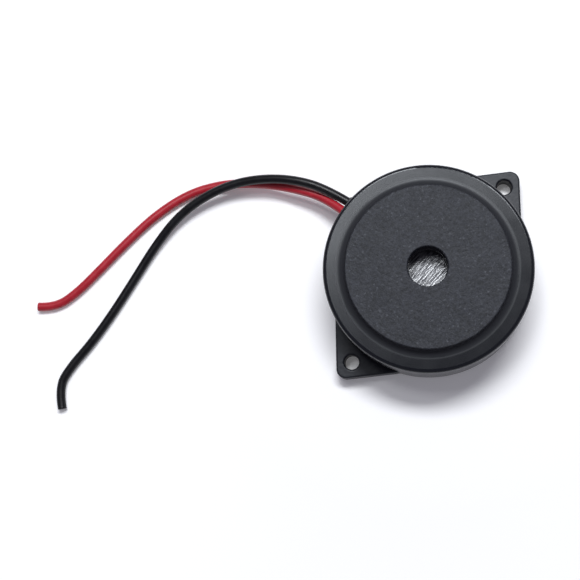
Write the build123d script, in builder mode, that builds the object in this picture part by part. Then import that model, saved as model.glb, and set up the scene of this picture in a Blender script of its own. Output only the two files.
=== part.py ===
"""Piezo buzzer with a moulded case, two screw ears and two flying leads.

Millimetres, +Z up. The origin is the middle of the base, on the surface that
the buzzer is screwed to. +X runs through the two screw holes and the leads
leave the wall on the +Y side.
"""

import os
from math import atan2, cos, degrees, hypot, pi, radians, sin, tan

from build123d import *

os.makedirs("parts", exist_ok=True)

# Moulded case
case_d = 42.0             # round wall, outside
case_h = 14.0             # base to the flat shoulder
case_edge_r = 0.8         # rounding of the shoulder's outer edge
disc_d = 32.8             # raised disc in the middle of the top
disc_h = 2.0              # disc above the shoulder
disc_edge_r = 0.2
disc_foot_r = 1.6         # hollow fillet where the disc meets the shoulder
top_t = 1.8               # shoulder; the disc is solid above it
wall_t = 2.8              # wall round the board and the sounding plate
skirt_t = 1.6             # thinner wall round the back cover
sound_hole_d = 8.0        # at its mouth
sound_hole_draft = 3.0    # degrees that it narrows by on the way in
sound_hole_edge_r = 0.25
ledge_w = 1.9             # ledge that the sounding plate is glued to

# Screw ears
hole_reach = 3.0          # hole centres past the round wall
hole_d = 3.0
hole_edge_r = 0.4
ear_t = 4.0
ear_tip_r = 2.0           # rounding of each ear's tip
ear_tip_out = 1.8         # its middle past the hole's centre
ear_root_inset = 1.6      # circle that the ears' straight edges are tangent to, inside the wall
ear_edge_r = 0.4

# Ribs inside the case that the board is pushed up against
rib_count = 4
rib_w = 2.0
rib_depth = 1.4
rib_root = 0.6            # rib reaches this far into the wall
rib_gap = 1.2             # top of the ribs below the plate's ledge

# Back cover
cover_inset = 0.4         # cover's face above the base plane
cover_t = 1.6
cover_rim_h = 1.8         # rim that holds the board up against the ribs
cover_rim_w = 1.5
cover_rim_gap = 0.15      # round the rim, in the case's bore
seal_w = 0.6              # resin in the groove round the cover
seal_dip = 0.2            # resin's face below the cover's face

# Sounding element
plate_t = 0.25
plate_gap = 0.3           # round the plate, in the case's bore
element_gap = 0.85        # air between the element and the tallest part on the board
glue_leg = 0.8            # bead of glue in the corner under the plate
glue_face_r = 1.12        # hollow face of the bead
ceramic_d = 25.0
ceramic_t = 0.25
silver_margin = 0.7       # bare rim of the ceramic round the silver
silver_t = 0.05
tongue_w = 3.4            # feedback tongue in the silver
tongue_inner = 3.0        # its round end, from the middle of the disc
silver_gap = 0.5          # bare ceramic between tongue and main field

# Circuit board
board_t = 1.0
board_gap = 0.3
hole_slack = 0.1          # round each pin in its board hole
copper_t = 0.07
pad_margin = 0.45         # pad past the pin's hole
fine_pad_margin = 0.2     # the same under the transistor, whose legs are close together
track_w = 1.0
track_inset = 4.1         # outer ring of track in from the board's edge
solder_rim = 0.09         # bare pad round each solder cone
solder_waist = 0.18       # solder past the pin, halfway up the cone
solder_h = 0.8
pin_stub = 0.15           # pin's end past its solder

# Tapped coil
coil_inset = 10.3         # coil's axis in from the board's edge
coil_y = -1.8
coil_d = 7.0
coil_h = 4.0
coil_flange_t = 0.8
coil_core_d = 2.6
coil_winding_d = 5.9
coil_pin_circle_d = 5.0
coil_pin_d = 0.6

# Transistor, lying on its flat
transistor_inset = 9.9    # its middle in from the board's edge
transistor_y = 4.0
transistor_w = 4.8
transistor_l = 4.6
transistor_h = 3.7
transistor_round_h = 1.92 # rounded top of the body
transistor_leg_h = 1.48   # legs above the body's flat
transistor_leg_pitch = 1.27
transistor_leg_d = 0.46
transistor_leg_reach = 2.0

# Resistors and diode
body_lift = 0.1           # air under every part that lies on the board
resistor_d = 1.8
resistor_waist_d = 1.5
resistor_l = 3.6
resistor_cap_l = 0.9
resistor_pitch = 7.6
resistor_x = 0.5
resistor_inset = 6.3      # outer resistor's axis in from the board's edge
resistor_spacing = 3.4
diode_inset = 5.3         # diode's axis in from the board's edge
diode_y = -3.6
diode_d = 1.9
diode_edge_r = 0.47
diode_l = 3.9
diode_pitch = 7.6
axial_wire_d = 0.5
axial_bend_r = 0.5

# Speed-up capacitor across the base resistor
capacitor_x, capacitor_y = 2.0, -2.6
capacitor_w, capacitor_depth, capacitor_h = 4.0, 2.6, 3.4
capacitor_round_r = 0.9
capacitor_edge_r = 0.7
capacitor_leg_pitch = 2.54
capacitor_leg_d = 0.5

# Fine wires from the board to the element
element_wire_d = 0.6
element_wire_bend_r = 0.9
element_wire_z = 7.2      # height of the level stretch
dot_d = 1.8               # solder dots at both ends of each wire
dot_tip_d = 0.9
dot_h = 0.5
main_pad = (-3.2, 8.4)
main_dot = (-6.4, 5.2)
feedback_pad = (0.0, 0.9)
feedback_dot = (0.0, 6.2)
ground_pad = (-9.0, 7.0)
ground_dot_gap = 1.0      # ground wire's upper dot past the ceramic's rim
ground_dot_angle = 143.5  # and its direction from the middle of the disc

# Flying leads
lead_d = 1.9
lead_gap = 0.25           # between the two leads in the wall
lead_clear = 0.1          # resin round the leads above the board
exit_x = -0.2             # middle of the pair on the wall's outer face
exit_yaw = 15.0           # degrees that the pair leans from +Y towards -X
slot_margin = 0.3         # resin round the leads in the slot
seal_out = 1.0            # resin past the wall, outside
seal_in = 0.6             # and inside
seal_edge_r = 0.25
tail_l = 5.2              # insulated stretch inside the slot's inner end
core_d = 0.8              # tinned strands
core_reach = 1.4          # bare strands before they turn down
core_bend_r = 0.8
exit_run = 6.0            # straight stretch of each lead past the resin
cross_gap = 0.15          # between the leads where one passes over the other
bend_share = 0.45         # of the shorter run beside each corner, left to its arc
near = 1e-4               # tolerance of the selectors

# Worked out from the sizes above
case_r = case_d / 2
hole_pitch = case_d + 2 * hole_reach
disc_r = disc_d / 2
bore_r = case_r - wall_t
recess_r = case_r - skirt_t
chamber_r = bore_r - ledge_w
disc_top = case_h + disc_h
ceiling_z = case_h - top_t
sound_hole_r = sound_hole_d / 2
sound_hole_low_r = sound_hole_r - (disc_top - ceiling_z) * tan(radians(sound_hole_draft))
cover_top = cover_inset + cover_t
board_under = cover_top + cover_rim_h
board_top = board_under + board_t
board_r = bore_r - board_gap
silver_under = board_top + max(coil_h, body_lift + transistor_h, body_lift + capacitor_h) + element_gap
ceramic_under = silver_under + silver_t
plate_under = ceramic_under + ceramic_t
ledge_z = plate_under + plate_t
rib_top = ledge_z - rib_gap
silver_r = ceramic_d / 2 - silver_margin
ground_dot_r = ceramic_d / 2 + ground_dot_gap + dot_d / 2
ground_dot = (
    ground_dot_r * cos(radians(ground_dot_angle)),
    ground_dot_r * sin(radians(ground_dot_angle)),
)
coil_x = coil_inset - board_r
transistor_x = board_r - transistor_inset
diode_x = board_r - diode_inset
bias_resistor_y = resistor_inset - board_r
base_resistor_y = bias_resistor_y + resistor_spacing
track_ring_r = board_r - track_inset
lead_r = lead_d / 2
lead_z = board_top + lead_clear + slot_margin + lead_r
lead_offset = lead_r + lead_gap / 2
copper_under = board_under - copper_t
pin_end = copper_under - solder_h - pin_stub

# Plane across the pair of leads, on the wall's outer face
wall_y = (case_r**2 - exit_x**2) ** 0.5
out_x, out_y = -sin(radians(exit_yaw)), cos(radians(exit_yaw))
exit_plane = Plane(origin=(exit_x, wall_y, lead_z), x_dir=(out_y, -out_x, 0), z_dir=(out_x, out_y, 0))


def rings(part, radius, height):
    """Circular edges of a turned part with this radius at this height."""
    return [
        edge
        for edge in part.edges().filter_by(GeomType.CIRCLE)
        if abs(edge.radius - radius) < near
        and abs(edge.arc_center.Z - height) < near
        and hypot(edge.arc_center.X, edge.arc_center.Y) < near
    ]


def along_exit(side, distance):
    """Point on a lead's centre line, this far out from the wall; side is +1 for black."""
    return (
        exit_x + side * lead_offset * out_y + distance * out_x,
        wall_y - side * lead_offset * out_x + distance * out_y,
        lead_z,
    )


# Case: wall, shoulder and raised disc are one turned form, with the ears, ribs and lead slot added
with BuildPart() as housing:
    with BuildSketch(Plane.XZ) as case_section:
        with BuildLine():
            Polyline(
                (recess_r, 0),
                (case_r, 0),
                (case_r, case_h),
                (disc_r, case_h),
                (disc_r, disc_top),
                (sound_hole_r, disc_top),
                (sound_hole_low_r, ceiling_z),
                (chamber_r, ceiling_z),
                (chamber_r, ledge_z),
                (bore_r, ledge_z),
                (bore_r, cover_top),
                (recess_r, cover_top),
                close=True,
            )
        make_face()
    revolve(axis=Axis.Z)
    fillet(rings(housing, case_r, case_h), case_edge_r)
    fillet(rings(housing, disc_r, case_h), disc_foot_r)
    fillet(rings(housing, disc_r, disc_top), disc_edge_r)
    fillet(rings(housing, sound_hole_r, disc_top), sound_hole_edge_r)

    with BuildSketch() as ear_outline:
        Circle(case_r - ear_root_inset)
        with GridLocations(hole_pitch + 2 * ear_tip_out, 0, 2, 1):
            Circle(ear_tip_r)
        make_hull()
        Circle((recess_r + case_r) / 2, mode=Mode.SUBTRACT)
    extrude(amount=ear_t)
    ear_tops = housing.faces().filter_by(Plane.XY).filter_by(lambda face: abs(face.center().Z - ear_t) < near)
    ear_rims = ear_tops.edges().filter_by(
        lambda edge: hypot(edge.center().X, edge.center().Y) > case_r + near
    )
    fillet(ear_rims, ear_edge_r)

    with BuildSketch() as screw_holes:
        with GridLocations(hole_pitch, 0, 2, 1):
            Circle(hole_d / 2)
    extrude(amount=ear_t, mode=Mode.SUBTRACT)
    hole_edges = housing.edges().filter_by(GeomType.CIRCLE).filter_by(
        lambda edge: abs(edge.radius - hole_d / 2) < near and abs(edge.center().Z - ear_t) < near
    )
    fillet(hole_edges, hole_edge_r)

    with BuildSketch(Plane.XY.offset(board_top)) as rib_plan:
        with PolarLocations(bore_r + (rib_root - rib_depth) / 2, rib_count, start_angle=180 / rib_count):
            Rectangle(rib_depth + rib_root, rib_w)
    extrude(amount=rib_top - board_top)

    with BuildSketch(exit_plane) as slot_section:
        SlotCenterToCenter(2 * lead_offset, lead_d + 2 * slot_margin)
    extrude(amount=wall_t + ledge_w, both=True, mode=Mode.SUBTRACT)
housing.part.label = "housing"
export_step(housing.part, "parts/housing.step")

# Back cover: a shallow pan whose rim clamps the board up against the ribs
cover_r = recess_r - seal_w
with BuildPart() as back_cover:
    with BuildSketch(Plane.XY.offset(cover_inset)):
        Circle(cover_r)
    extrude(amount=cover_t)
    with BuildSketch(Plane.XY.offset(cover_top)):
        Circle(bore_r - cover_rim_gap)
        Circle(bore_r - cover_rim_gap - cover_rim_w, mode=Mode.SUBTRACT)
    extrude(amount=cover_rim_h)
back_cover.part.label = "back_cover"
export_step(back_cover.part, "parts/back_cover.step")

# Resin in the groove round the cover, with a sunken face
with BuildPart() as cover_seal:
    with BuildSketch(Plane.XZ) as groove:
        with BuildLine():
            Line((cover_r, cover_top), (recess_r, cover_top))
            Line((recess_r, cover_top), (recess_r, cover_inset))
            ThreePointArc(
                (recess_r, cover_inset),
                ((recess_r + cover_r) / 2, cover_inset + seal_dip),
                (cover_r, cover_inset),
            )
            Line((cover_r, cover_inset), (cover_r, cover_top))
        make_face()
    revolve(axis=Axis.Z)
cover_seal.part.label = "cover_seal"
export_step(cover_seal.part, "parts/cover_seal.step")

# Sounding plate, glued up against the ledge in the case
plate_r = bore_r - plate_gap
with BuildPart() as sounding_plate:
    with BuildSketch(Plane.XY.offset(plate_under)):
        Circle(plate_r)
    extrude(amount=plate_t)
sounding_plate.part.label = "sounding_plate"
export_step(sounding_plate.part, "parts/sounding_plate.step")

# Bead of glue between the plate's underside and the wall
with BuildPart() as plate_glue:
    with BuildSketch(Plane.XZ) as bead:
        with BuildLine():
            Line((bore_r - glue_leg, plate_under), (bore_r, plate_under))
            Line((bore_r, plate_under), (bore_r, plate_under - glue_leg))
            RadiusArc((bore_r, plate_under - glue_leg), (bore_r - glue_leg, plate_under), glue_face_r)
        make_face()
    revolve(axis=Axis.Z)
plate_glue.part.label = "plate_glue"
export_step(plate_glue.part, "parts/plate_glue.step")

# Ceramic disc bonded to the plate
with BuildPart() as piezo_ceramic:
    with BuildSketch(Plane.XY.offset(ceramic_under)):
        Circle(ceramic_d / 2)
    extrude(amount=ceramic_t)
piezo_ceramic.part.label = "piezo_ceramic"
export_step(piezo_ceramic.part, "parts/piezo_ceramic.step")

# Silver film on the ceramic: a main field, and a tongue let into it that picks up the feedback
with BuildPart() as main_electrode:
    with BuildSketch(Plane.XY.offset(silver_under)):
        Circle(silver_r)
        with Locations((0, tongue_inner)):
            Circle(tongue_w / 2 + silver_gap, mode=Mode.SUBTRACT)
        with Locations((0, tongue_inner + silver_r)):
            Rectangle(tongue_w + 2 * silver_gap, 2 * silver_r, mode=Mode.SUBTRACT)
    extrude(amount=silver_t)
main_electrode.part.label = "main_electrode"
export_step(main_electrode.part, "parts/main_electrode.step")

with BuildPart() as feedback_electrode:
    with BuildSketch(Plane.XY.offset(silver_under)):
        with Locations((0, tongue_inner)):
            Circle(tongue_w / 2)
        with Locations((0, tongue_inner + silver_r)):
            Rectangle(tongue_w, 2 * silver_r)
        Circle(silver_r, mode=Mode.INTERSECT)
    extrude(amount=silver_t)
feedback_electrode.part.label = "feedback_electrode"
export_step(feedback_electrode.part, "parts/feedback_electrode.step")

# Where the pins go through the board
coil_pins = [
    (
        coil_x + coil_pin_circle_d / 2 * cos(radians(angle)),
        coil_y + coil_pin_circle_d / 2 * sin(radians(angle)),
    )
    for angle in (90, 210, 330)
]
transistor_foot_x = transistor_x - transistor_l / 2 - transistor_leg_reach
transistor_pins = [(transistor_foot_x, transistor_y + step * transistor_leg_pitch) for step in (-1, 0, 1)]
base_pins = [(resistor_x + side * resistor_pitch / 2, base_resistor_y) for side in (-1, 1)]
bias_pins = [(resistor_x + side * resistor_pitch / 2, bias_resistor_y) for side in (-1, 1)]
diode_pins = [(diode_x, diode_y + side * diode_pitch / 2) for side in (-1, 1)]
capacitor_pins = [(capacitor_x + side * capacitor_leg_pitch / 2, capacitor_y) for side in (-1, 1)]
core_in = -(wall_t + seal_in + tail_l + core_reach + core_bend_r)
red_pin = along_exit(-1, core_in)[:2]
black_pin = along_exit(1, core_in)[:2]

# Every pin's place, its diameter and the width of its pad past the hole
pins = [(spot, coil_pin_d, pad_margin) for spot in coil_pins]
pins += [(spot, transistor_leg_d, fine_pad_margin) for spot in transistor_pins]
pins += [(spot, axial_wire_d, pad_margin) for spot in base_pins + bias_pins + diode_pins]
pins += [(spot, capacitor_leg_d, pad_margin) for spot in capacitor_pins]
pins += [(spot, core_d, pad_margin) for spot in (red_pin, black_pin)]

with BuildPart() as circuit_board:
    with BuildSketch(Plane.XY.offset(board_under)):
        Circle(board_r)
        for spot, pin_d, _ in pins:
            with Locations(spot):
                Circle(pin_d / 2 + hole_slack, mode=Mode.SUBTRACT)
    extrude(amount=board_t)
circuit_board.part.label = "circuit_board"
export_step(circuit_board.part, "parts/circuit_board.step")


def on_ring(angle):
    """Point in this direction on the ring that the outer tracks follow."""
    return track_ring_r * cos(radians(angle)), track_ring_r * sin(radians(angle))


# Copper on the board's underside: the runs of track from pin to pin, none of which cross
base_bus_x = -1.4
base_turn = (base_bus_x, -0.4)
tracks = [
    [red_pin, on_ring(78), on_ring(47), (diode_x, 5.0), diode_pins[1]],
    [black_pin, transistor_pins[2]],
    [diode_pins[0], *[on_ring(angle) for angle in (-45, -70, -95, -118, -141)], coil_pins[1]],
    [bias_pins[1], on_ring(-70)],
    [transistor_pins[1], (0.6, transistor_pins[1][1]), coil_pins[0]],
    [transistor_pins[0], (1.4, transistor_pins[0][1]), base_turn, (base_bus_x, -5.4), base_pins[0]],
    [base_pins[0], bias_pins[0]],
    [capacitor_pins[0], (base_bus_x, capacitor_y)],
    [capacitor_pins[1], base_pins[1]],
]


def add_track(start, end):
    """One straight stretch of copper with round ends, in the sketch at hand."""
    run_x, run_y = end[0] - start[0], end[1] - start[1]
    with Locations(((start[0] + end[0]) / 2, (start[1] + end[1]) / 2)):
        SlotCenterToCenter(hypot(run_x, run_y), track_w, rotation=degrees(atan2(run_y, run_x)))


with BuildPart() as copper_tracks:
    with BuildSketch(Plane.XY.offset(copper_under)):
        for run in tracks:
            for start, end in zip(run, run[1:]):
                add_track(start, end)
        for spot, pin_d, margin in pins:
            with Locations(spot):
                Circle(pin_d / 2 + hole_slack + margin)
        for spot, pin_d, _ in pins:
            with Locations(spot):
                Circle(pin_d / 2 + hole_slack, mode=Mode.SUBTRACT)
    extrude(amount=copper_t)
copper_tracks.part.label = "copper_tracks"
export_step(copper_tracks.part, "parts/copper_tracks.step")

# Soldered joints: a cone of solder round every pin, under the board
with BuildPart() as solder_joints:
    for (pin_x, pin_y), pin_d, margin in pins:
        inner = pin_d / 2
        with BuildSketch(Plane(origin=(pin_x, pin_y, copper_under), x_dir=(1, 0, 0), z_dir=(0, -1, 0))):
            with BuildLine():
                Polyline(
                    (inner, 0),
                    (inner + hole_slack + margin - solder_rim, 0),
                    (inner + solder_waist, -solder_h / 2),
                    (inner, -solder_h),
                    close=True,
                )
            make_face()
        revolve(axis=Axis((pin_x, pin_y, 0), (0, 0, 1)))
solder_joints.part.label = "solder_joints"
export_step(solder_joints.part, "parts/solder_joints.step")

# Tapped coil: a ferrite bobbin, its copper winding and three pins
coil_centre = (coil_x, coil_y)
with BuildPart() as coil_bobbin:
    with BuildSketch(Plane(origin=(coil_x, coil_y, board_top), x_dir=(1, 0, 0), z_dir=(0, -1, 0))):
        with BuildLine():
            Polyline(
                (0, 0),
                (coil_d / 2, 0),
                (coil_d / 2, coil_flange_t),
                (coil_core_d / 2, coil_flange_t),
                (coil_core_d / 2, coil_h - coil_flange_t),
                (coil_d / 2, coil_h - coil_flange_t),
                (coil_d / 2, coil_h),
                (0, coil_h),
                close=True,
            )
        make_face()
    revolve(axis=Axis((coil_x, coil_y, 0), (0, 0, 1)))
coil_bobbin.part.label = "coil_bobbin"
export_step(coil_bobbin.part, "parts/coil_bobbin.step")

with BuildPart() as coil_winding:
    with BuildSketch(Plane.XY.offset(board_top + coil_flange_t)):
        with Locations(coil_centre):
            Circle(coil_winding_d / 2)
            Circle(coil_core_d / 2, mode=Mode.SUBTRACT)
    extrude(amount=coil_h - 2 * coil_flange_t)
coil_winding.part.label = "coil_winding"
export_step(coil_winding.part, "parts/coil_winding.step")

with BuildPart() as coil_pin_set:
    with BuildSketch(Plane.XY.offset(pin_end)):
        with Locations(*coil_pins):
            Circle(coil_pin_d / 2)
    extrude(amount=board_top - pin_end)
coil_pin_set.part.label = "coil_pins"
export_step(coil_pin_set.part, "parts/coil_pins.step")

# Transistor: a moulded half-round body lying on its flat, with three formed legs
transistor_seat = board_top + body_lift
with BuildPart() as transistor:
    with BuildSketch(
        Plane(
            origin=(transistor_x - transistor_l / 2, transistor_y, transistor_seat),
            x_dir=(0, 1, 0),
            z_dir=(1, 0, 0),
        )
    ):
        with BuildLine():
            half_w = transistor_w / 2
            shoulder_h = transistor_h - transistor_round_h
            Polyline((-half_w, shoulder_h), (-half_w, 0), (half_w, 0), (half_w, shoulder_h))
            ThreePointArc((half_w, shoulder_h), (0, transistor_h), (-half_w, shoulder_h))
        make_face()
    extrude(amount=transistor_l)
transistor.part.label = "transistor"
export_step(transistor.part, "parts/transistor.step")

leg_z = transistor_seat + transistor_leg_h
with BuildPart() as transistor_legs:
    for foot_x, foot_y in transistor_pins:
        with BuildLine() as leg_route:
            FilletPolyline(
                (transistor_x - transistor_l / 2, foot_y, leg_z),
                (foot_x, foot_y, leg_z),
                (foot_x, foot_y, pin_end),
                radius=axial_bend_r,
            )
        with BuildSketch(Plane(origin=leg_route.line @ 0, z_dir=leg_route.line % 0)):
            Circle(transistor_leg_d / 2)
        sweep(path=leg_route.line)
transistor_legs.part.label = "transistor_legs"
export_step(transistor_legs.part, "parts/transistor_legs.step")

# Resistors: dog-bone bodies with raised ends
resistor_z = board_top + body_lift + resistor_d / 2


def resistor_body(centre_y):
    """A resistor's body, turned about its own axis along X."""
    with BuildPart() as body:
        with BuildSketch(Plane(origin=(resistor_x, centre_y, resistor_z), z_dir=(0, -1, 0), x_dir=(1, 0, 0))):
            with BuildLine():
                half_l = resistor_l / 2
                waist = half_l - resistor_cap_l
                Polyline(
                    (-half_l, 0),
                    (-half_l, resistor_d / 2),
                    (-waist, resistor_d / 2),
                    (-waist, resistor_waist_d / 2),
                    (waist, resistor_waist_d / 2),
                    (waist, resistor_d / 2),
                    (half_l, resistor_d / 2),
                    (half_l, 0),
                    close=True,
                )
            make_face()
        revolve(axis=Axis((resistor_x, centre_y, resistor_z), (1, 0, 0)))
    return body


base_resistor = resistor_body(base_resistor_y)
base_resistor.part.label = "base_resistor"
export_step(base_resistor.part, "parts/base_resistor.step")

bias_resistor = resistor_body(bias_resistor_y)
bias_resistor.part.label = "bias_resistor"
export_step(bias_resistor.part, "parts/bias_resistor.step")


def axial_wire(body_end, foot):
    """A part's wire from the end of its body, over and down through the board."""
    with BuildLine() as wire_route:
        FilletPolyline(
            body_end,
            (foot[0], foot[1], body_end[2]),
            (foot[0], foot[1], pin_end),
            radius=axial_bend_r,
        )
    with BuildSketch(Plane(origin=wire_route.line @ 0, z_dir=wire_route.line % 0)) as wire_section:
        Circle(axial_wire_d / 2)
    sweep(wire_section.sketch, path=wire_route.line)


with BuildPart() as resistor_wires:
    for feet in (base_pins, bias_pins):
        for side, foot in zip((-1, 1), feet):
            axial_wire((resistor_x + side * resistor_l / 2, foot[1], resistor_z), foot)
resistor_wires.part.label = "resistor_wires"
export_step(resistor_wires.part, "parts/resistor_wires.step")

# Diode that guards against swapped leads: a small glass rod with two wires
diode_z = board_top + body_lift + diode_d / 2
with BuildPart() as diode:
    diode_end = (diode_x, diode_y - diode_l / 2, diode_z)
    with BuildSketch(Plane(origin=diode_end, x_dir=(1, 0, 0), z_dir=(0, 1, 0))):
        Circle(diode_d / 2)
    extrude(amount=diode_l)
    fillet(diode.edges().filter_by(GeomType.CIRCLE), diode_edge_r)
diode.part.label = "diode"
export_step(diode.part, "parts/diode.step")

with BuildPart() as diode_wires:
    for side, foot in zip((-1, 1), diode_pins):
        axial_wire((diode_x, diode_y + side * diode_l / 2, diode_z), foot)
diode_wires.part.label = "diode_wires"
export_step(diode_wires.part, "parts/diode_wires.step")

# Capacitor: a dipped bead on two legs
capacitor_under = board_top + body_lift
with BuildPart() as capacitor:
    with BuildSketch(Plane.XY.offset(capacitor_under)):
        with Locations((capacitor_x, capacitor_y)):
            RectangleRounded(capacitor_w, capacitor_depth, capacitor_round_r)
    extrude(amount=capacitor_h)
    fillet(capacitor.faces().sort_by(Axis.Z)[-1].edges(), capacitor_edge_r)
capacitor.part.label = "capacitor"
export_step(capacitor.part, "parts/capacitor.step")

with BuildPart() as capacitor_legs:
    with BuildSketch(Plane.XY.offset(pin_end)):
        with Locations(*capacitor_pins):
            Circle(capacitor_leg_d / 2)
    extrude(amount=capacitor_under - pin_end)
capacitor_legs.part.label = "capacitor_legs"
export_step(capacitor_legs.part, "parts/capacitor_legs.step")


# Fine wires to the element: each rises from a dot on the board to a dot on the element
def element_wire(pad, dot, dot_seat):
    """One wire's part, from the tip of its lower dot to the tip of its upper dot."""
    with BuildPart() as wire:
        with BuildLine() as wire_route:
            FilletPolyline(
                (pad[0], pad[1], board_top + dot_h),
                (pad[0], pad[1], element_wire_z),
                (dot[0], dot[1], element_wire_z),
                (dot[0], dot[1], dot_seat - dot_h),
                radius=element_wire_bend_r,
            )
        with BuildSketch(Plane(origin=wire_route.line @ 0, z_dir=wire_route.line % 0)):
            Circle(element_wire_d / 2)
        sweep(path=wire_route.line)
    return wire


main_wire = element_wire(main_pad, main_dot, silver_under)
main_wire.part.label = "main_wire"
export_step(main_wire.part, "parts/main_wire.step")

feedback_wire = element_wire(feedback_pad, feedback_dot, silver_under)
feedback_wire.part.label = "feedback_wire"
export_step(feedback_wire.part, "parts/feedback_wire.step")

ground_wire = element_wire(ground_pad, ground_dot, plate_under)
ground_wire.part.label = "ground_wire"
export_step(ground_wire.part, "parts/ground_wire.step")


def solder_dot(spot, seat, tip):
    """A blunt cone of solder that sits on a face at one height and holds a wire at the other."""
    with BuildSketch(Plane.XY.offset(seat)) as wide_end:
        with Locations(spot):
            Circle(dot_d / 2)
    with BuildSketch(Plane.XY.offset(tip)) as narrow_end:
        with Locations(spot):
            Circle(dot_tip_d / 2)
    loft([wide_end.sketch.face(), narrow_end.sketch.face()])


with BuildPart() as board_dots:
    for spot in (main_pad, feedback_pad, ground_pad):
        solder_dot(spot, board_top, board_top + dot_h)
board_dots.part.label = "board_dots"
export_step(board_dots.part, "parts/board_dots.step")

with BuildPart() as element_dots:
    for spot, seat in ((main_dot, silver_under), (feedback_dot, silver_under), (ground_dot, plate_under)):
        solder_dot(spot, seat, seat - dot_h)
element_dots.part.label = "element_dots"
export_step(element_dots.part, "parts/element_dots.step")

# Resin that fills the slot in the wall and grips both leads
with BuildPart() as lead_seal:
    with BuildSketch(exit_plane.offset(-wall_t - seal_in)) as seal_section:
        SlotCenterToCenter(2 * lead_offset, lead_d + 2 * slot_margin)
        with GridLocations(2 * lead_offset, 0, 2, 1):
            Circle(lead_r, mode=Mode.SUBTRACT)
    extrude(amount=wall_t + seal_in + seal_out)
    seal_face = lead_seal.faces().sort_by(Axis(exit_plane.origin, exit_plane.z_dir))[-1]
    fillet(seal_face.outer_wire().edges(), seal_edge_r)
lead_seal.part.label = "lead_seal"
export_step(lead_seal.part, "parts/lead_seal.step")


# Stretch of each lead that lies inside the resin and over the board
def lead_tail(side):
    """Insulated tail of one lead, from the resin's outer face inwards."""
    with BuildPart() as tail:
        with BuildSketch(exit_plane.offset(seal_out)):
            with Locations((side * lead_offset, 0)):
                Circle(lead_r)
        extrude(amount=-(wall_t + seal_in + seal_out + tail_l))
    return tail


black_tail = lead_tail(1)
black_tail.part.label = "black_lead_tail"
export_step(black_tail.part, "parts/black_lead_tail.step")

red_tail = lead_tail(-1)
red_tail.part.label = "red_lead_tail"
export_step(red_tail.part, "parts/red_lead_tail.step")

with BuildPart() as lead_strands:
    for side, pin in ((1, black_pin), (-1, red_pin)):
        with BuildLine() as strand_route:
            FilletPolyline(
                along_exit(side, -(wall_t + seal_in + tail_l)),
                (pin[0], pin[1], lead_z),
                (pin[0], pin[1], pin_end),
                radius=core_bend_r,
            )
        with BuildSketch(Plane(origin=strand_route.line @ 0, z_dir=strand_route.line % 0)):
            Circle(core_d / 2)
        sweep(path=strand_route.line)
lead_strands.part.label = "lead_strands"
export_step(lead_strands.part, "parts/lead_strands.step")

# Free stretch of each lead, lying on the surface the buzzer stands on.
# The black lead comes down onto the red one and passes over it.
floor_z = lead_r
over_z = floor_z + lead_d + cross_gap
black_points = [
    along_exit(1, seal_out),
    along_exit(1, seal_out + exit_run),
    (-1.5, 31.7, 4.6),
    (-6.3, 39.7, 3.4),
    (-14.5, 46.4, over_z),
    (-26.2, 49.4, over_z),
    (-36.7, 48.1, floor_z),
    (-47.9, 46.0, floor_z),
    (-59.6, 44.8, floor_z),
    (-68.7, 45.0, floor_z),
    (-71.8, 40.5, floor_z),
]
red_points = [
    along_exit(-1, seal_out),
    along_exit(-1, seal_out + exit_run),
    (-2.7, 32.4, 1.7),
    (-12.7, 48.2, floor_z),
    (-20.2, 50.6, floor_z),
    (-27.2, 53.4, floor_z),
    (-42.6, 54.2, floor_z),
    (-56.4, 55.1, floor_z),
    (-59.2, 59.0, floor_z),
]


def corner_radii(points):
    """Radius at each corner that fills the two runs beside it."""
    radii = []
    for before, here, after in zip(points, points[1:], points[2:]):
        run_in = Vector(*here) - Vector(*before)
        run_out = Vector(*after) - Vector(*here)
        turn = radians(run_in.get_angle(run_out))
        radii.append(bend_share * min(run_in.length, run_out.length) / tan(turn / 2))
    return radii


def lead(points):
    """A lead's tube along straight runs joined by tangent arcs."""
    with BuildPart() as tube:
        with BuildLine() as route:
            FilletPolyline(*points, radius=corner_radii(points))
        with BuildSketch(Plane(origin=route.line @ 0, z_dir=route.line % 0)):
            Circle(lead_r)
        sweep(path=route.line)
    length = route.wire().length
    print("length", round(length, 2), "radii", [round(radius, 1) for radius in corner_radii(points)])
    print("volume", round(tube.part.volume, 2), "section times length", round(pi * lead_r**2 * length, 2))
    return tube


black_lead = lead(black_points)
black_lead.part.label = "black_lead"
export_step(black_lead.part, "parts/black_lead.step")

red_lead = lead(red_points)
red_lead.part.label = "red_lead"
export_step(red_lead.part, "parts/red_lead.step")
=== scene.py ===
import math

import bpy
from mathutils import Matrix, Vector


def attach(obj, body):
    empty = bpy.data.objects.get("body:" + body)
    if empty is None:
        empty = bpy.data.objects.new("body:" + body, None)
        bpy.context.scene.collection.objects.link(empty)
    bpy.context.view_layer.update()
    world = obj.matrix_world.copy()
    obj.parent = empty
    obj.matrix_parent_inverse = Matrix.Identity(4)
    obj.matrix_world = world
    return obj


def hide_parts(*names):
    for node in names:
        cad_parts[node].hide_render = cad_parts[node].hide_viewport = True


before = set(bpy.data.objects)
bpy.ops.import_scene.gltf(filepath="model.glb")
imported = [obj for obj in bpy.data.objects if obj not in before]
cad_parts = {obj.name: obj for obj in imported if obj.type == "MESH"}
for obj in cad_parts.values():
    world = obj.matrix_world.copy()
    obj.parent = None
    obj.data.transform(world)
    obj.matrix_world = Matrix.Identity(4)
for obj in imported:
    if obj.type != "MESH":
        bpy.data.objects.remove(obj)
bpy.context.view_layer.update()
scene = bpy.context.scene
scene.view_settings.view_transform = "Standard"
mm = 0.001

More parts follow.
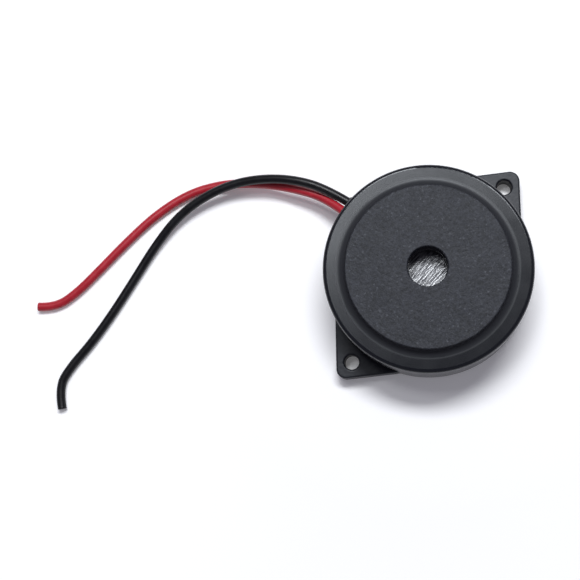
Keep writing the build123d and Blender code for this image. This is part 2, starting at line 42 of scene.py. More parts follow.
# The case: one black ABS moulding with two screw ears. The raised disc and its edge come off a
# spark-eroded face of the tool and are matt and grainy. The shoulder and the wall come off
# polished steel, and the ears off a lightly blasted one. The foot round the disc is painted
# lighter than the rest: a painted sheen, standing in for the light that its lit side catches.
shoulder_z = 14.0 * mm
ear_z = 4.2 * mm
wall_r = 21.1 * mm
grain_reach = (16.4 * mm, 16.9 * mm)  # where the disc's grain fades out, over its edge
# the foot's reach also fades out the foot's painted sheen colour
matt_reach = (17.0 * mm, 18.4 * mm)  # where its matt face turns to satin, over its foot
step_fade = 0.3 * mm
ear_fade = 0.2 * mm

satin_black = (0.0056, 0.0062, 0.0088)
disc_dark = (0.0048, 0.0052, 0.0072)
disc_light = (0.0260, 0.0280, 0.0370)
fleck_grey = (0.0600, 0.0640, 0.0750)
# painted sheen: the foot is coloured lighter than the case, standing in for light it catches
foot_painted_sheen = (0.0170, 0.0180, 0.0215)
ear_black = (0.0068, 0.0074, 0.0110)
cloud_size, cloud_share, cloud_edges = 0.75 * mm, 0.40, (0.38, 0.62)
speck_size, speck_share, speck_edges = 0.26 * mm, 0.60, (0.40, 0.66)
fleck_size, fleck_share, fleck_edges = 0.60 * mm, 0.9, (0.60, 0.74)
patch_size, patch_swing = 5.0 * mm, 0.07

wall_polish = (0.22, 0.25)  # the wall's roughness, from its glossiest to its dullest spot
polish_size = 4.0 * mm
foot_matt = 0.50  # what each face adds to the roughness; the disc lies within the foot
disc_matt = -0.16
ear_matt = 0.22
case_sheen = 0.37
sheen_tint = (0.94, 0.97, 1.0, 1.0)

pit_size, pit_share = 0.20 * mm, 0.45
lump_size, lump_share = 0.70 * mm, 0.95
grain_depth = 0.09 * mm
wall_grain = 0.012  # how much of the disc's grain the polished and the blasted faces have
ear_grain = 0.35


def new_finish(name, colour, roughness, metallic=0.0):
    """A material with one Principled shader, and its position in metres."""
    finish = bpy.data.materials.new(name)
    finish.use_nodes = True
    tree = finish.node_tree
    shader = tree.nodes["Principled BSDF"]
    shader.inputs["Base Color"].default_value = (*colour, 1.0)
    shader.inputs["Roughness"].default_value = roughness
    shader.inputs["Metallic"].default_value = metallic
    place = tree.nodes.new("ShaderNodeTexCoord").outputs["Object"]
    return finish, tree, shader, place


def spread(tree, value, low, high, start=0.35, end=0.65):
    """A number in the range start to end, spread over low to high."""
    ramp = tree.nodes.new("ShaderNodeMapRange")
    ramp.inputs["From Min"].default_value = start
    ramp.inputs["From Max"].default_value = end
    ramp.inputs["To Min"].default_value = low
    ramp.inputs["To Max"].default_value = high
    tree.links.new(value, ramp.inputs["Value"])
    return ramp.outputs["Result"]


def blend(tree, share, first, second):
    """A colour between two by this share, each of them a colour or the output of a node."""
    mix = tree.nodes.new("ShaderNodeMix")
    mix.data_type = "RGBA"
    factor, first_colour, second_colour = mix.inputs[0], mix.inputs[6], mix.inputs[7]
    for socket, colour in ((first_colour, first), (second_colour, second)):
        if isinstance(colour, tuple):
            socket.default_value = (*colour, 1.0)
        else:
            tree.links.new(colour, socket)
    tree.links.new(share, factor)
    return mix.outputs[2]


def combine(tree, operation, first, second=0.0):
    """Arithmetic on one or two numbers, each of them a value or the output of a node."""
    arithmetic = tree.nodes.new("ShaderNodeMath")
    arithmetic.operation = operation
    for socket, value in zip(arithmetic.inputs, (first, second)):
        if isinstance(value, (int, float)):
            socket.default_value = value
        else:
            tree.links.new(value, socket)
    return arithmetic.outputs["Value"]


def weigh(tree, total, *layers):
    """A number with some layers added to it, each of them times its share."""
    for layer, share in layers:
        total = combine(tree, "ADD", total, combine(tree, "MULTIPLY", layer, share))
    return total


def mottle(tree, place, size, detail=3.0):
    """Soft noise whose blotches are about this many metres across."""
    noise = tree.nodes.new("ShaderNodeTexNoise")
    noise.inputs["Scale"].default_value = 1.0 / size
    noise.inputs["Detail"].default_value = detail
    tree.links.new(place, noise.inputs["Vector"])
    return noise.outputs["Fac"]


def relief(tree, shader, height, depth):
    """Bump of this depth in metres, from a height of 0 to 1."""
    bump = tree.nodes.new("ShaderNodeBump")
    bump.inputs["Distance"].default_value = depth
    tree.links.new(height, bump.inputs["Height"])
    tree.links.new(bump.outputs["Normal"], shader.inputs["Normal"])


def finish_nodes(finish, *nodes):
    """Give CAD nodes this finish."""
    for node in nodes:
        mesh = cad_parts[node].data
        mesh.materials.clear()
        mesh.materials.append(finish)


def case_finish():
    """Black ABS: grain on the disc, painted sheen on its foot, satin on shoulder and wall, fine
    blasting on ears.
    """
    finish, tree, shader, place = new_finish("black moulded case", satin_black, wall_polish[0])
    split = tree.nodes.new("ShaderNodeSeparateXYZ")
    tree.links.new(place, split.inputs["Vector"])
    height = split.outputs["Z"]
    across = combine(tree, "POWER", split.outputs["X"], 2.0)
    along = combine(tree, "POWER", split.outputs["Y"], 2.0)
    reach = combine(tree, "SQRT", combine(tree, "ADD", across, along))
    above = spread(tree, height, 0.0, 1.0, shoulder_z - step_fade, shoulder_z)
    on_disc = combine(tree, "MULTIPLY", spread(tree, reach, 1.0, 0.0, *grain_reach), above)
    on_foot = combine(tree, "MULTIPLY", spread(tree, reach, 1.0, 0.0, *matt_reach), above)
    outside = spread(tree, reach, 0.0, 1.0, wall_r, wall_r + step_fade)
    below = spread(tree, height, 1.0, 0.0, ear_z, ear_z + ear_fade)
    on_ear = combine(tree, "MULTIPLY", outside, below)

    clouds = spread(tree, mottle(tree, place, cloud_size), 0.0, cloud_share, *cloud_edges)
    specks = spread(tree, mottle(tree, place, speck_size, detail=2.0), 0.0, speck_share, *speck_edges)
    flecks = spread(tree, mottle(tree, place, fleck_size), 0.0, fleck_share, *fleck_edges)
    patches = spread(tree, mottle(tree, place, patch_size), -patch_swing, patch_swing)
    shades = combine(tree, "ADD", combine(tree, "ADD", clouds, specks), patches)
    disc_colour = blend(tree, shades, disc_dark, disc_light)
    disc_colour = blend(tree, flecks, disc_colour, fleck_grey)
    # the foot takes its painted sheen colour, lighter than the rest of the case
    colour = blend(tree, on_foot, blend(tree, on_ear, satin_black, ear_black), foot_painted_sheen)
    colour = blend(tree, on_disc, colour, disc_colour)
    tree.links.new(colour, shader.inputs["Base Color"])

    polish = spread(tree, mottle(tree, place, polish_size), *wall_polish)
    rough = weigh(tree, polish, (on_foot, foot_matt), (on_disc, disc_matt), (on_ear, ear_matt))
    tree.links.new(rough, shader.inputs["Roughness"])
    shader.inputs["Specular IOR Level"].default_value = case_sheen
    shader.inputs["Specular Tint"].default_value = sheen_tint

    pits = mottle(tree, place, pit_size)
    lumps = mottle(tree, place, lump_size, detail=2.0)
    skin = weigh(tree, 0.0, (pits, pit_share), (lumps, lump_share))
    strength = weigh(tree, wall_grain, (on_disc, 1.0 - wall_grain), (on_ear, ear_grain))
    relief(tree, shader, combine(tree, "MULTIPLY", skin, strength), grain_depth)
    return finish


finish_nodes(case_finish(), "housing")


# The sounding plate: thin nickel-plated brass, glued in under the sound hole. Its face keeps the
# long scratches of the strip that it was punched from.
plate_nickel = (0.50, 0.50, 0.53)
scratch_dull = (0.03, 0.03, 0.035)
scratch_bright = (0.25, 0.255, 0.26)
brush_turn = math.radians(6)
brush_stretch = 0.10
wide_scratch, wide_share, wide_edges = 0.34 * mm, 0.6, (0.44, 0.58)
fine_scratch, fine_share, fine_edges = 0.13 * mm, 0.4, (0.36, 0.64)
scratch_depth = 0.03 * mm
plate_roughness = 0.35
dull_roughness, bright_roughness = 0.40, 0.28


def plate_finish():
    """Brushed nickel: bright and dull scratches side by side, all along one direction."""
    finish, tree, shader, place = new_finish("brushed plate", plate_nickel, plate_roughness, 1.0)
    turn = tree.nodes.new("ShaderNodeMapping")
    turn.inputs["Rotation"].default_value = (0.0, 0.0, brush_turn)
    turn.inputs["Scale"].default_value = (brush_stretch, 1.0, 1.0)
    tree.links.new(place, turn.inputs["Vector"])
    brushed = turn.outputs["Vector"]
    wide = spread(tree, mottle(tree, brushed, wide_scratch, detail=2.0), 0.0, wide_share, *wide_edges)
    fine = spread(tree, mottle(tree, brushed, fine_scratch), 0.0, fine_share, *fine_edges)
    share = combine(tree, "ADD", wide, fine)
    rough = spread(tree, share, dull_roughness, bright_roughness, 0.0, 1.0)
    tree.links.new(blend(tree, share, scratch_dull, scratch_bright), shader.inputs["Base Color"])
    tree.links.new(rough, shader.inputs["Roughness"])
    relief(tree, shader, share, scratch_depth)
    return finish


finish_nodes(plate_finish(), "sounding_plate")


# The glue that holds the plate: a bead of off-white silicone, run round in the corner between the
# plate and the wall, with a smooth hollow face.
faint_cloud = 2.0 * mm
gloss_swing = 0.1


def even_finish(name, dark, light, roughness, skin_size, skin_depth, metallic=0.0):
    """An even colour with faint clouds, a gloss that varies a little, and a fine skin."""
    finish, tree, shader, place = new_finish(name, dark, roughness, metallic)
    clouds = spread(tree, mottle(tree, place, faint_cloud, detail=2.0), 0.0, 1.0)
    glossiest, dullest = roughness * (1 - gloss_swing), roughness * (1 + gloss_swing)
    rough = spread(tree, clouds, glossiest, dullest, 0.0, 1.0)
    tree.links.new(blend(tree, clouds, dark, light), shader.inputs["Base Color"])
    tree.links.new(rough, shader.inputs["Roughness"])
    relief(tree, shader, mottle(tree, place, skin_size), skin_depth)
    return finish


silicone = even_finish(
    "plate adhesive",
    dark=(0.60, 0.59, 0.55),
    light=(0.70, 0.69, 0.65),
    roughness=0.35,
    skin_size=1.2 * mm,
    skin_depth=0.05 * mm,
)
finish_nodes(silicone, "plate_glue")


# The ceramic: a thin disc of fired piezo ceramic, pale buff and slightly porous, bonded to the
# plate. Silver paste is printed on it and fired, as a main field and a feedback tongue.
fired = even_finish(
    "piezo ceramic",
    dark=(0.52, 0.46, 0.37),
    light=(0.61, 0.55, 0.46),
    roughness=0.55,
    skin_size=0.12 * mm,
    skin_depth=0.006 * mm,
)
finish_nodes(fired, "piezo_ceramic")
silver = even_finish(
    "fired silver",
    dark=(0.72, 0.71, 0.67),
    light=(0.84, 0.83, 0.80),
    roughness=0.42,
    skin_size=0.18 * mm,
    skin_depth=0.008 * mm,
    metallic=1.0,
)
finish_nodes(silver, "main_electrode", "feedback_electrode")


# The board: phenolic paper laminate, punched round, with etched copper on its underside. Every
# pin is dip-soldered, which leaves a bright cone of solder round it.
board_tan = (0.42, 0.23, 0.09)
fibre_dark = (0.36, 0.19, 0.07)
fibre_light = (0.50, 0.29, 0.12)
fibre_size = 0.35 * mm
fibre_stretch = 0.25
fibre_depth = 0.01 * mm
board_roughness = 0.42


def laminate_finish():
    """Tan phenolic paper, with the pressed fibres showing as short streaks."""
    finish, tree, shader, place = new_finish("board laminate", board_tan, board_roughness)
    stretch = tree.nodes.new("ShaderNodeMapping")
    stretch.inputs["Scale"].default_value = (fibre_stretch, 1.0, 1.0)
    tree.links.new(place, stretch.inputs["Vector"])
    fibres = mottle(tree, stretch.outputs["Vector"], fibre_size, detail=4.0)
    colour = blend(tree, spread(tree, fibres, 0.0, 1.0), fibre_dark, fibre_light)
    tree.links.new(colour, shader.inputs["Base Color"])
    relief(tree, shader, fibres, fibre_depth)
    return finish


finish_nodes(laminate_finish(), "circuit_board")
copper = even_finish(
    "etched copper",
    dark=(0.72, 0.34, 0.20),
    light=(0.84, 0.44, 0.27),
    roughness=0.34,
    skin_size=0.25 * mm,
    skin_depth=0.006 * mm,
    metallic=1.0,
)
finish_nodes(copper, "copper_tracks")
tin_solder = even_finish(
    "tin solder",
    dark=(0.62, 0.63, 0.64),
    light=(0.76, 0.77, 0.77),
    roughness=0.24,
    skin_size=0.4 * mm,
    skin_depth=0.02 * mm,
    metallic=1.0,
)
finish_nodes(tin_solder, "solder_joints", "board_dots", "element_dots")


# The coil: a drum of pressed ferrite with tinned pins, wound with turn on turn of enamelled
# copper wire. Its tap steps the drive voltage up for the piezo disc.
coil_centre = (-7.6 * mm, -1.8 * mm, 5.6 * mm)
coil_height = 2.4 * mm
coil_radius = 2.95 * mm
coil_turns = 15
turn_points, wire_sides, drum_sides = 40, 10, 64

ferrite = even_finish(
    "ferrite",
    dark=(0.030, 0.029, 0.031),
    light=(0.048, 0.046, 0.048),
    roughness=0.55,
    skin_size=0.12 * mm,
    skin_depth=0.015 * mm,
)
finish_nodes(ferrite, "coil_bobbin")
tinned = even_finish(
    "tinned wire",
    dark=(0.66, 0.66, 0.66),
    light=(0.80, 0.80, 0.79),
    roughness=0.26,
    skin_size=0.5 * mm,
    skin_depth=0.006 * mm,
    metallic=1.0,
)
finish_nodes(tinned, "coil_pins", "transistor_legs", "resistor_wires", "diode_wires")
finish_nodes(tinned, "capacitor_legs")
enamel = even_finish(
    "enamelled copper",
    dark=(0.46, 0.15, 0.045),
    light=(0.62, 0.23, 0.08),
    roughness=0.22,
    skin_size=0.2 * mm,
    skin_depth=0.004 * mm,
    metallic=1.0,
)


def new_tree(name, sizes):
    """A Geometry Nodes tree with a named input for each size, and its input and output nodes."""
    tree = bpy.data.node_groups.new(name, "GeometryNodeTree")
    for size_name, kind in sizes:
        tree.interface.new_socket(size_name, in_out="INPUT", socket_type="NodeSocket" + kind)
    tree.interface.new_socket("Geometry", in_out="OUTPUT", socket_type="NodeSocketGeometry")
    return tree, tree.nodes.new("NodeGroupInput"), tree.nodes.new("NodeGroupOutput")


def join(tree, out_node, out_name, in_node, in_name):
    """Link two nodes of a Geometry Nodes tree by the names of their sockets."""
    tree.links.new(out_node.outputs[out_name], in_node.inputs[in_name])


def grow(name, tree, sizes):
    """A plain mesh object made by this tree with these sizes."""
    seed = bpy.data.objects.new(name + " seed", bpy.data.meshes.new(name + " seed"))
    scene.collection.objects.link(seed)
    growth = seed.modifiers.new("growth", "NODES")
    growth.node_group = tree
    for item in tree.interface.items_tree:
        if item.in_out == "INPUT":
            growth[item.identifier] = sizes[item.name]
    held = seed.evaluated_get(bpy.context.evaluated_depsgraph_get())
    mesh = bpy.data.meshes.new_from_object(held)
    seed.modifiers.remove(growth)
    bpy.data.objects.remove(seed)
    mesh.shade_smooth()
    piece = bpy.data.objects.new(name, mesh)
    scene.collection.objects.link(piece)
    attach(piece, "root")
    return piece


def winding_tree():
    """One spiral of wire, turn beside turn, over a drum of the turns beneath."""
    tree, sizes, result = new_tree(
        "winding",
        [
            ("Turns", "Float"),
            ("Height", "Float"),
            ("Radius", "Float"),
            ("Wire Radius", "Float"),
            ("Centre", "Vector"),
            ("Drum Centre", "Vector"),
            ("Finish", "Material"),
        ],
    )
    spiral = tree.nodes.new("GeometryNodeCurveSpiral")
    spiral.inputs["Resolution"].default_value = turn_points
    join(tree, sizes, "Turns", spiral, "Rotations")
    join(tree, sizes, "Radius", spiral, "Start Radius")
    join(tree, sizes, "Radius", spiral, "End Radius")
    join(tree, sizes, "Height", spiral, "Height")
    section = tree.nodes.new("GeometryNodeCurvePrimitiveCircle")
    section.inputs["Resolution"].default_value = wire_sides
    join(tree, sizes, "Wire Radius", section, "Radius")
    wire = tree.nodes.new("GeometryNodeCurveToMesh")
    wire.inputs["Fill Caps"].default_value = True
    join(tree, spiral, "Curve", wire, "Curve")
    join(tree, section, "Curve", wire, "Profile Curve")
    set_wire = tree.nodes.new("GeometryNodeTransform")
    join(tree, wire, "Mesh", set_wire, "Geometry")
    join(tree, sizes, "Centre", set_wire, "Translation")
    drum = tree.nodes.new("GeometryNodeMeshCylinder")
    drum.inputs["Vertices"].default_value = drum_sides
    join(tree, sizes, "Radius", drum, "Radius")
    join(tree, sizes, "Height", drum, "Depth")
    set_drum = tree.nodes.new("GeometryNodeTransform")
    join(tree, drum, "Mesh", set_drum, "Geometry")
    join(tree, sizes, "Drum Centre", set_drum, "Translation")
    both = tree.nodes.new("GeometryNodeJoinGeometry")
    join(tree, set_drum, "Geometry", both, "Geometry")
    join(tree, set_wire, "Geometry", both, "Geometry")
    real = tree.nodes.new("GeometryNodeRealizeInstances")
    join(tree, both, "Geometry", real, "Geometry")
    coat = tree.nodes.new("GeometryNodeSetMaterial")
    join(tree, real, "Geometry", coat, "Geometry")
    join(tree, sizes, "Finish", coat, "Material")
    join(tree, coat, "Geometry", result, "Geometry")
    return tree


wire_r = coil_height / coil_turns / 2
winding = grow(
    "coil_turns",
    winding_tree(),
    {
        "Turns": coil_turns - 1.0,
        "Height": coil_height - 2 * wire_r,
        "Radius": coil_radius - wire_r,
        "Wire Radius": wire_r,
        "Centre": (coil_centre[0], coil_centre[1], coil_centre[2] + wire_r),
        "Drum Centre": (coil_centre[0], coil_centre[1], coil_centre[2] + coil_height / 2),
        "Finish": enamel,
    },
)
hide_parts("coil_winding")


# The transistor: a half-round body of moulded black epoxy, laid on its flat and soldered in by
# three formed legs.
epoxy = even_finish(
    "moulded epoxy",
    dark=(0.016, 0.016, 0.017),
    light=(0.024, 0.024, 0.025),
    roughness=0.48,
    skin_size=0.10 * mm,
    skin_depth=0.010 * mm,
)
finish_nodes(epoxy, "transistor")


# The resistors: carbon film under a beige coat with raised ends. Each carries the painted rings
# of the usual colour code.
coat_ends = (-2.0 * mm, 3.0 * mm)
ring_starts = (-0.95 * mm, -0.45 * mm, 0.05 * mm, 1.15 * mm)
ring_width = 0.28 * mm
ripple_size = 0.6 * mm
ripple_depth = 0.03 * mm
coat_roughness = 0.38
beige = (0.60, 0.44, 0.27)
brown = (0.10, 0.03, 0.01)
black = (0.01, 0.01, 0.01)
red = (0.45, 0.02, 0.02)
orange = (0.70, 0.20, 0.02)
gold = (0.40, 0.26, 0.06)


def ringed_finish(name, axis, rings, coat, roughness):
    """A coat with painted rings along one axis; rings are (start, colour) in metres, in order."""
    finish, tree, shader, place = new_finish(name, coat, roughness)
    split = tree.nodes.new("ShaderNodeSeparateXYZ")
    tree.links.new(place, split.inputs["Vector"])
    first, last = rings[0][0], rings[-1][0]
    ramp = tree.nodes.new("ShaderNodeValToRGB")
    ramp.color_ramp.interpolation = "CONSTANT"
    stops = ramp.color_ramp.elements
    while len(stops) < len(rings):
        stops.new(0.5)
    for stop, (start, colour) in zip(stops, rings):
        stop.position = (start - first) / (last - first)
        stop.color = (*colour, 1.0)
    tree.links.new(spread(tree, split.outputs[axis], 0.0, 1.0, first, last), ramp.inputs["Fac"])
    tree.links.new(ramp.outputs["Color"], shader.inputs["Base Color"])
    relief(tree, shader, mottle(tree, place, ripple_size, detail=2.0), ripple_depth)
    return finish


def resistor_finish(name, colours):
    """A beige coat with four painted rings across the resistor, which lies along X."""
    rings = [(coat_ends[0], beige)]
    for start, colour in zip(ring_starts, colours):
        rings += [(start, colour), (start + ring_width, beige)]
    return ringed_finish(name, "X", rings + [(coat_ends[1], beige)], beige, coat_roughness)


base_coat = resistor_finish("coat of the base resistor", (brown, black, red, gold))
finish_nodes(base_coat, "base_resistor")
bias_coat = resistor_finish("coat of the bias resistor", (brown, black, orange, gold))
finish_nodes(bias_coat, "bias_resistor")


# The diode: a junction sealed in an amber glass rod, with a painted black ring at its cathode
# end. It guards the circuit when the leads are swapped.
amber = (0.42, 0.11, 0.03)
glass_roughness = 0.08
diode_rings = [(-5.6 * mm, amber), (-5.1 * mm, black), (-4.5 * mm, amber), (-1.6 * mm, amber)]
glass = ringed_finish("diode glass", "Y", diode_rings, amber, glass_roughness)
finish_nodes(glass, "diode")


# The capacitor: a ceramic chip dipped in ochre lacquer, which leaves a soft lump with rounded
# corners on two tinned legs.
ochre = even_finish(
    "dipped lacquer",
    dark=(0.46, 0.17, 0.03),
    light=(0.58, 0.24, 0.05),
    roughness=0.26,
    skin_size=0.9 * mm,
    skin_depth=0.05 * mm,
)
finish_nodes(ochre, "capacitor")


# The two flying leads: tinned strands in soft extruded PVC, 1.9 mm over the insulation. Both come
# out of the wall side by side and lie down on the table, and the black one passes over the red.
# Fine wires of the same kind join the board to the sounding element.
lead_d = 1.9 * mm
lead_steps, lead_rounding = 24, 8
black_route = [  # in millimetres, where 0.95 is the height of a lead on the table
    (0.58, 22.24, 6.15),
    (-0.35, 27.6, 6.35),
    (-2.7, 33.3, 6.2),
    (-6.5, 38.9, 5.2),
    (-11.7, 43.8, 4.1),
    (-18.1, 47.1, 3.2),
    (-25.2, 48.8, 2.2),
    (-33.1, 48.5, 1.2),
    (-41.5, 47.1, 0.95),
    (-49.8, 45.8, 0.95),
    (-57.5, 45.0, 0.95),
    (-64.1, 45.0, 0.95),
    (-69.0, 44.1, 0.95),
    (-71.8, 40.5, 0.95),
]
red_route = [
    (-1.50, 21.69, 6.15),
    (-1.65, 26.6, 4.8),
    (-4.1, 32.9, 3.9),
    (-7.9, 39.7, 2.6),
    (-12.9, 45.9, 1.4),
    (-19.3, 50.5, 0.95),
    (-27.5, 53.0, 0.95),
    (-36.2, 53.9, 0.95),
    (-44.5, 54.3, 0.95),
    (-51.7, 54.8, 0.95),
    (-56.9, 56.2, 0.95),
    (-59.2, 59.0, 0.95),
]
black_sheen = 0.28
black_pvc = even_finish(
    "black insulation",
    dark=(0.0035, 0.0036, 0.0045),
    light=(0.0060, 0.0062, 0.0075),
    roughness=0.36,
    skin_size=0.5 * mm,
    skin_depth=0.012 * mm,
)
black_shader = black_pvc.node_tree.nodes["Principled BSDF"]
black_shader.inputs["Specular IOR Level"].default_value = black_sheen
red_pvc = even_finish(
    "red insulation",
    dark=(0.37, 0.010, 0.020),
    light=(0.43, 0.015, 0.028),
    roughness=0.36,
    skin_size=0.5 * mm,
    skin_depth=0.012 * mm,
)
blue_pvc = even_finish(
    "blue insulation",
    dark=(0.02, 0.06, 0.30),
    light=(0.03, 0.09, 0.38),
    roughness=0.38,
    skin_size=0.4 * mm,
    skin_depth=0.008 * mm,
)
finish_nodes(black_pvc, "black_lead_tail", "ground_wire")
finish_nodes(red_pvc, "red_lead_tail", "main_wire")
finish_nodes(blue_pvc, "feedback_wire")
finish_nodes(tinned, "lead_strands")


def lay_lead(name, route, finish):
    """A lead's free stretch, as one smooth line through its route with a round section."""
    line = bpy.data.curves.new(name, "CURVE")
    line.dimensions = "3D"
    line.resolution_u = lead_steps
    line.bevel_depth = lead_d / 2
    line.bevel_resolution = lead_rounding
    line.use_fill_caps = True
    spline = line.splines.new("NURBS")
    spline.points.add(len(route) - 1)
    for point, (x, y, z) in zip(spline.points, route):
        point.co = (x * mm, y * mm, z * mm, 1.0)
    spline.order_u = 3
    spline.use_endpoint_u = True
    line.materials.append(finish)
    lead = bpy.data.objects.new(name, line)
    scene.collection.objects.link(lead)
    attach(lead, "root")
    return lead


strand_sides, rim_points, corner_points = 20, 64, 3
corner_r = 0.05 * mm


def cut_end_tree():
    """A lead's cut end: a rim of insulation round a bundle of strands that stops short of it."""
    tree, sizes, result = new_tree(
        "cut end",
        [
            ("Strands", "Int"),
            ("Strand Radius", "Float"),
            ("Strand Length", "Float"),
            ("Rim Radius", "Float"),
            ("Rim Width", "Float"),
            ("Rim Length", "Float"),
            ("Place", "Vector"),
            ("Turn", "Rotation"),
            ("Metal", "Material"),
            ("Insulation", "Material"),
        ],
    )
    lay = tree.nodes.new("ShaderNodeMath")
    lay.operation = "MULTIPLY"
    lay.inputs[1].default_value = 2.0
    join(tree, sizes, "Strand Radius", lay, 0)
    ring = tree.nodes.new("GeometryNodeMeshCircle")
    join(tree, sizes, "Strands", ring, "Vertices")
    join(tree, lay, "Value", ring, "Radius")
    middle = tree.nodes.new("GeometryNodeMeshLine")
    middle.inputs["Count"].default_value = 1
    spots = tree.nodes.new("GeometryNodeJoinGeometry")
    join(tree, ring, "Mesh", spots, "Geometry")
    join(tree, middle, "Mesh", spots, "Geometry")
    strand = tree.nodes.new("GeometryNodeMeshCylinder")
    strand.inputs["Vertices"].default_value = strand_sides
    join(tree, sizes, "Strand Radius", strand, "Radius")
    join(tree, sizes, "Strand Length", strand, "Depth")
    bundle = tree.nodes.new("GeometryNodeInstanceOnPoints")
    join(tree, spots, "Geometry", bundle, "Points")
    join(tree, strand, "Mesh", bundle, "Instance")
    metal = tree.nodes.new("GeometryNodeSetMaterial")
    join(tree, bundle, "Instances", metal, "Geometry")
    join(tree, sizes, "Metal", metal, "Material")

    rim_line = tree.nodes.new("GeometryNodeCurvePrimitiveCircle")
    rim_line.inputs["Resolution"].default_value = rim_points
    join(tree, sizes, "Rim Radius", rim_line, "Radius")
    rim_section = tree.nodes.new("GeometryNodeCurvePrimitiveQuadrilateral")
    join(tree, sizes, "Rim Width", rim_section, "Width")
    join(tree, sizes, "Rim Length", rim_section, "Height")
    rounded = tree.nodes.new("GeometryNodeFilletCurve")
    rounded.mode = "POLY"
    rounded.inputs["Count"].default_value = corner_points
    rounded.inputs["Radius"].default_value = corner_r
    join(tree, rim_section, "Curve", rounded, "Curve")
    rim = tree.nodes.new("GeometryNodeCurveToMesh")
    join(tree, rim_line, "Curve", rim, "Curve")
    join(tree, rounded, "Curve", rim, "Profile Curve")
    skin = tree.nodes.new("GeometryNodeSetMaterial")
    join(tree, rim, "Mesh", skin, "Geometry")
    join(tree, sizes, "Insulation", skin, "Material")

    both = tree.nodes.new("GeometryNodeJoinGeometry")
    join(tree, metal, "Geometry", both, "Geometry")
    join(tree, skin, "Geometry", both, "Geometry")
    real = tree.nodes.new("GeometryNodeRealizeInstances")
    join(tree, both, "Geometry", real, "Geometry")
    put = tree.nodes.new("GeometryNodeTransform")
    join(tree, real, "Geometry", put, "Geometry")
    join(tree, sizes, "Place", put, "Translation")
    join(tree, sizes, "Turn", put, "Rotation")
    join(tree, put, "Geometry", result, "Geometry")
    return tree


cut_end = cut_end_tree()


def end_of_lead(name, route, finish):
    """The cut face at a lead's free end."""
    last = Vector(route[-1]) * mm
    ahead = (last - Vector(route[-2]) * mm).normalized()
    sizes = {
        "Strands": 6,
        "Strand Radius": 0.13 * mm,
        "Strand Length": 0.24 * mm,
        "Rim Radius": 0.70 * mm,
        "Rim Width": 0.49 * mm,
        "Rim Length": 0.50 * mm,
        "Place": last,
        "Turn": ahead.to_track_quat("Z", "Y").to_euler(),
        "Metal": tinned,
        "Insulation": finish,
    }
    return grow(name, cut_end, sizes)


black_lead = lay_lead("black_lead_free", black_route, black_pvc)
black_end = end_of_lead("black_lead_cut", black_route, black_pvc)
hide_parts("black_lead")
red_lead = lay_lead("red_lead_free", red_route, red_pvc)
red_end = end_of_lead("red_lead_cut", red_route, red_pvc)
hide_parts("red_lead")


# The back cover: a shallow black ABS pan pressed in under the board. Black epoxy is poured round
# it and into the slot in the wall, where it grips both leads.
cover_black = even_finish(
    "black moulded cover",
    dark=(0.011, 0.011, 0.013),
    light=(0.016, 0.016, 0.019),
    roughness=0.42,
    skin_size=0.25 * mm,
    skin_depth=0.012 * mm,
)
finish_nodes(cover_black, "back_cover")
poured = even_finish(
    "potting resin",
    dark=(0.006, 0.006, 0.007),
    light=(0.009, 0.009, 0.010),
    roughness=0.14,
    skin_size=2.5 * mm,
    skin_depth=0.06 * mm,
)
finish_nodes(poured, "cover_seal", "lead_seal")


# The table: plain white card under the buzzer. The picture shows it burnt out to pure white, the
# more so the farther away it lies.
floor_drop = 0.02 * mm
floor_reach = 1.5
card_white = (0.95, 0.95, 0.95, 1.0)
near, near_glow = 0.05, 0.11
far, far_glow = 0.60, 1.0


def card_finish():
    """White card that takes shadows, with a glow that only shows to the eye and in gloss."""
    card = bpy.data.materials.new("white card")
    card.use_nodes = True
    tree = card.node_tree
    tree.nodes.clear()
    paper = tree.nodes.new("ShaderNodeBsdfDiffuse")
    paper.inputs["Color"].default_value = card_white
    rays = tree.nodes.new("ShaderNodeLightPath")
    seen = combine(tree, "ADD", rays.outputs["Is Camera Ray"], rays.outputs["Is Glossy Ray"])
    seen = combine(tree, "ADD", seen, rays.outputs["Is Transmission Ray"])
    place = tree.nodes.new("ShaderNodeTexCoord").outputs["Object"]
    distance = tree.nodes.new("ShaderNodeVectorMath")
    distance.operation = "LENGTH"
    tree.links.new(place, distance.inputs[0])
    level = spread(tree, distance.outputs["Value"], near_glow, far_glow, near, far)
    glow = tree.nodes.new("ShaderNodeEmission")
    tree.links.new(combine(tree, "MULTIPLY", seen, level), glow.inputs["Strength"])
    lit_and_glowing = tree.nodes.new("ShaderNodeAddShader")
    tree.links.new(paper.outputs["BSDF"], lit_and_glowing.inputs[0])
    tree.links.new(glow.outputs["Emission"], lit_and_glowing.inputs[1])
    surface = tree.nodes.new("ShaderNodeOutputMaterial").inputs["Surface"]
    tree.links.new(lit_and_glowing.outputs["Shader"], surface)
    return card


floor_mesh = bpy.data.meshes.new("floor")
square = ((-1, -1), (1, -1), (1, 1), (-1, 1))
corners = [(x * floor_reach, y * floor_reach, -floor_drop) for x, y in square]
floor_mesh.from_pydata(corners, [], [(0, 1, 2, 3)])
floor_mesh.materials.append(card_finish())
floor = bpy.data.objects.new("floor", floor_mesh)
scene.collection.objects.link(floor)


# Two soft lamps over the table: a long strip beyond the buzzer's top edge, and a small weak one
# to its left. The room's walls are pale and its ceiling is dark, as the camera shades it. The
# camera itself sees the room as plain white.
lamp_distance = 0.6
lamp_white = (0.95, 0.97, 1.0)
wall_levels = ((0.0, 0.06), (0.3, 0.19), (0.75, 0.24), (0.93, 0.11), (1.0, 0.08))  # by height
wall_tint = (1.0, 0.97, 1.20)


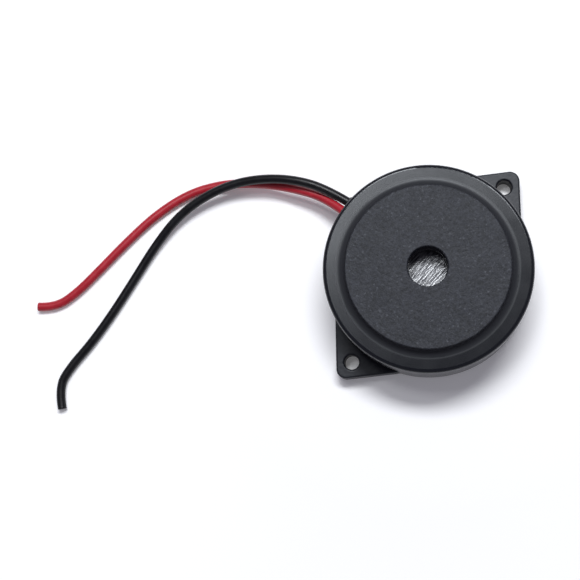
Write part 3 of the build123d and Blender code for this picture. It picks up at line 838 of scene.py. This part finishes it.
def hang_lamp(name, azimuth, lean, width, depth, level):
    """A soft lamp that leans this far from straight above, with this level on the table."""
    data = bpy.data.lights.new(name, "AREA")
    data.shape = "ELLIPSE"
    data.size = width
    data.size_y = depth
    data.color = lamp_white
    data.energy = level * (math.pi * lamp_distance) ** 2 / math.cos(math.radians(lean))
    lamp = bpy.data.objects.new(name, data)
    turn = math.radians(azimuth)
    tilt = math.radians(lean)
    outward = math.sin(tilt)
    aim = Vector((outward * math.cos(turn), outward * math.sin(turn), math.cos(tilt)))
    lamp.location = aim * lamp_distance
    lamp.rotation_euler = aim.to_track_quat("Z", "Y").to_euler()
    scene.collection.objects.link(lamp)


def studio_room():
    """The room round the table, as bright at each height as the wall levels say."""
    world = bpy.data.worlds.new("studio")
    world.use_nodes = True
    tree = world.node_tree
    way = tree.nodes.new("ShaderNodeTexCoord")
    split = tree.nodes.new("ShaderNodeSeparateXYZ")
    tree.links.new(way.outputs["Generated"], split.inputs["Vector"])
    walls = tree.nodes.new("ShaderNodeValToRGB")
    stops = walls.color_ramp.elements
    while len(stops) < len(wall_levels):
        stops.new(0.5)
    for stop, (height, level) in zip(stops, wall_levels):
        stop.position = height
        stop.color = (*(level * share for share in wall_tint), 1.0)
    tree.links.new(split.outputs["Z"], walls.inputs["Fac"])
    seen = tree.nodes.new("ShaderNodeLightPath").outputs["Is Camera Ray"]
    colour = blend(tree, seen, walls.outputs["Color"], (1.0, 1.0, 1.0))
    tree.links.new(colour, tree.nodes["Background"].inputs["Color"])
    return world


hang_lamp("strip lamp", azimuth=34.4, lean=25.0, width=0.36, depth=0.13, level=0.80)
hang_lamp("left lamp", azimuth=77.4, lean=16.0, width=0.105, depth=0.105, level=0.10)
scene.world = studio_room()


# The camera: a short telephoto lens over the table. It leans ten degrees off straight above, from
# the lower left of the picture.
camera_place = (-26.742 * mm, -25.0225 * mm, 260.0 * mm)
camera_turn = (7.4794, 6.6184, -48.498)

camera_data = bpy.data.cameras.new("camera")
camera_data.lens = 77.3
camera_data.sensor_width = 36.0
camera_data.clip_start = 0.01
camera = bpy.data.objects.new("camera", camera_data)
camera.location = camera_place
camera.rotation_euler = [math.radians(angle) for angle in camera_turn]
scene.collection.objects.link(camera)
scene.camera = camera
